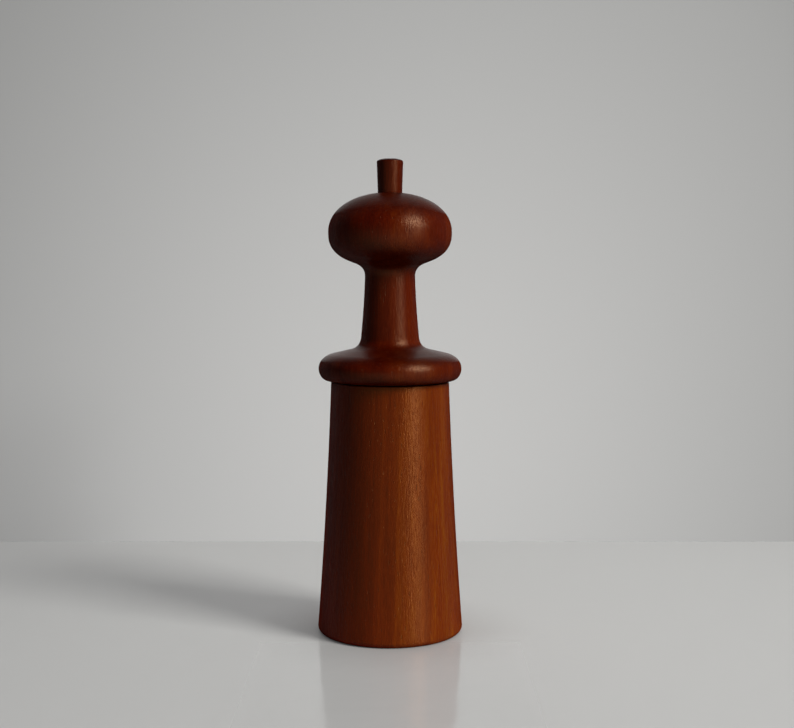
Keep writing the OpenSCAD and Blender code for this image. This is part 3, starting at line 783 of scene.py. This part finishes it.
def stage_surface(name, base, centre, reach, lift, scatter, glazed=False):
    """A pale stage material that throws only a part of its light back onto the mill.

    A glazed surface mirrors faintly in front of the mill, and any other can be seen through from
    behind. Both carry a painted pool of light, brightest at a centre and fading outwards.
    """
    s = Shader(name)
    seen = shown_directly(s)
    point = s.add("ShaderNodeTexCoord").outputs["Object"]
    # painted pool of light: colour and paleness fade with the distance from the centre
    apart = s.vector("DIVIDE", s.vector("SUBTRACT", point, centre), reach)
    away = s.add("ShaderNodeVectorMath", {"operation": "LENGTH"}, i0=apart).outputs["Value"]
    painted_pool = s.math("DIVIDE", 1.0, s.math("ADD", 1.0, s.math("MULTIPLY", away, away)))
    if glazed:
        painted_pool = s.math("MAXIMUM", painted_pool, FLOOR_LEAST)
    else:
        painted_pool = s.math("MULTIPLY", painted_pool, s.ramp(away, *WALL_DARKENS))
        painted_pool = s.math("MAXIMUM", painted_pool, s.math("MULTIPLY", seen, WALL_LEAST_SEEN))
    # painted bounce light: the colour that scattered light sees is scaled by scatter, near the mill and far
    # from it
    spread = s.add("ShaderNodeVectorMath", {"operation": "LENGTH"}, i0=point).outputs["Value"]
    unseen = s.math("SUBTRACT", 1.0, seen)
    part = s.math("ADD", seen, s.math("MULTIPLY", unseen, s.ramp(spread, *NEAR_AND_FAR, *scatter)))
    shown = s.blend(1.0, base, s.math("MULTIPLY", part, painted_pool), "MULTIPLY")
    lifted = s.math("MULTIPLY", s.math("MULTIPLY", seen, lift), painted_pool)
    if glazed:
        ripple = s.noise(point, 28.0, 2.0)
        glaze = s.add("ShaderNodeBump", Height=ripple, Strength=1.0, Distance=GLAZE_RIPPLE)
        aside, behind = s.add("ShaderNodeSeparateXYZ", Vector=point).outputs[:2]
        beside = s.ramp(s.math("ABSOLUTE", aside), *WORN_BESIDE)
        worn = s.math("MAXIMUM", s.ramp(behind, *WORN_BEHIND), beside)
        face = s.add("ShaderNodeBsdfPrincipled", Base_Color=shown, Normal=glaze.outputs[0],
                     Roughness=s.ramp(worn, 0.0, 1.0, *GLAZE_ROUGHNESS),
                     Specular_IOR_Level=s.ramp(worn, 0.0, 1.0, *GLAZE_MIRRORS))
        # painted contact shadow: ambient occlusion darkens the floor's paleness round the foot
        foot_shadow_ao = s.add("ShaderNodeAmbientOcclusion", {"samples": 4}, Distance=FOOT_SHADE).outputs["AO"]
        lifted = s.math("MULTIPLY", lifted, foot_shadow_ao)
        lifted = s.math("MULTIPLY", lifted, s.ramp(worn, 0.0, 1.0, *GLAZE_PALENESS))
        lifted = s.math("MULTIPLY", lifted, s.ramp(spread, *FAR_FLOOR_PALER))
    else:
        face = s.add("ShaderNodeBsdfDiffuse", Color=shown)
    glow = s.add("ShaderNodeEmission", Strength=lifted)
    surface = s.add("ShaderNodeAddShader", i0=face.outputs[0], i1=glow.outputs[0])
    if not glazed:
        back = s.add("ShaderNodeNewGeometry").outputs["Backfacing"]
        clear = s.add("ShaderNodeBsdfTransparent")
        surface = s.add("ShaderNodeMixShader", i0=back, i1=surface.outputs[0], i2=clear.outputs[0])
    return s.finish(surface)


def add_plane(name, size, material, **place):
    """A plane of the stage."""
    clear_selection()
    bpy.ops.mesh.primitive_plane_add(size=size, **place)
    plane = bpy.context.object
    plane.name = name
    plane.data.materials.append(material)
    return plane


def add_lamp(name, azimuth, elevation, size, power, tint=(1, 1, 1)):
    """A soft lamp that faces the mill, at an azimuth to the right of the camera."""
    target = (CAD_BOX[0] + CAD_BOX[1]) / 2
    turn, rise = math.radians(azimuth), math.radians(elevation)
    away = Vector((math.sin(turn) * math.cos(rise), -math.cos(turn) * math.cos(rise), math.sin(rise)))
    bpy.ops.object.light_add(type="AREA", location=target + away * LAMP_DISTANCE)
    lamp = bpy.context.object
    lamp.name = name
    lamp.rotation_euler = away.to_track_quat("Z", "Y").to_euler()
    lamp.data.shape = "RECTANGLE"
    lamp.data.size, lamp.data.size_y = size
    lamp.data.energy = power
    lamp.data.color = tint
    return lamp


def light_only(lamp, pieces):
    """Keeps a lamp's light on some pieces, and out of their highlights."""
    lamp.visible_glossy = False
    lit = bpy.data.collections.new("Lit by " + lamp.name)
    for piece in pieces:
        lit.objects.link(piece)
    lamp.light_linking.receiver_collection = lit


def light_room(scene, room):
    """A dim room, which shows paler than it lights."""
    scene.world = bpy.data.worlds.new("Room")
    scene.world.use_nodes = True
    tree = scene.world.node_tree
    background = tree.nodes["Background"]
    background.inputs["Color"].default_value = (*room, 1)
    strength = tree.nodes.new("ShaderNodeMapRange")
    strength.inputs["To Min"].default_value = 1.0
    strength.inputs["To Max"].default_value = ROOM_SHOWS
    path = tree.nodes.new("ShaderNodeLightPath")
    tree.links.new(path.outputs["Is Camera Ray"], strength.inputs["Value"])
    tree.links.new(strength.outputs[0], background.inputs["Strength"])


def add_camera(scene, look):
    """The camera, which looks down at the mill from the front."""
    bpy.ops.object.camera_add(location=(look.eye_offset, -look.eye_distance, look.eye_height),
                              rotation=(math.radians(90) - look.eye_pitch, 0, 0))
    scene.camera = bpy.context.object
    scene.camera.data.lens = look.lens
    scene.camera.data.sensor_width = 36.0
    scene.camera.data.clip_start = 0.01


class MILL_OT_set_stage(bpy.types.Operator):
    """Adds the floor, the wall, the lamps and the camera"""

    bl_idname = "mill.set_stage"
    bl_label = "Set Stage"

    def execute(self, context):
        scene = context.scene
        look = scene.mill_stage
        mill = [piece for piece in scene.objects if piece.type == "MESH"]
        floor = add_plane("floor", 30.0, stage_surface("Floor", look.floor, glazed=True, **FLOOR))
        wall = add_plane("wall", 6.0, stage_surface("Wall", look.wall, **WALL),
                         location=(0, look.wall_distance, 3.0), rotation=(math.radians(90), 0, 0))

        lamps = {name: add_lamp(name, **lamp) for name, lamp in LAMPS.items()}
        light_only(lamps["far_side"], mill)
        # the far side's lamp stands behind the wall
        wall.visible_shadow = False
        light_room(scene, look.room)

        add_camera(scene, look)
        scene.view_settings.view_transform = "Standard"
        return {"FINISHED"}


STEPS = (MILL_OT_turn_barrel, MILL_OT_turn_head, MILL_OT_turn_stopper, MILL_OT_wind_spring,
         MILL_OT_finish_metal, MILL_OT_set_stage)


class MILL_PT_panel(bpy.types.Panel):
    """Lists the mill's pieces"""

    bl_idname = "MILL_PT_panel"
    bl_label = "Pepper Mill"
    bl_space_type = "VIEW_3D"
    bl_region_type = "UI"
    bl_category = "Pepper Mill"

    def draw(self, context):
        for step in STEPS:
            self.layout.operator(step.bl_idname)


CLASSES = (*GROUPS.values(), *STEPS, MILL_PT_panel)


def register():
    for cls in CLASSES:
        bpy.utils.register_class(cls)
    for name, group in GROUPS.items():
        setattr(bpy.types.Scene, name, PointerProperty(type=group))


def unregister():
    for name in GROUPS:
        delattr(bpy.types.Scene, name)
    for cls in reversed(CLASSES):
        bpy.utils.unregister_class(cls)


def main():
    register()
    for step in STEPS:
        area, action = step.bl_idname.split(".")
        getattr(getattr(bpy.ops, area), action)()
    bpy.context.view_layer.update()


if __name__ == "__main__":
    main()
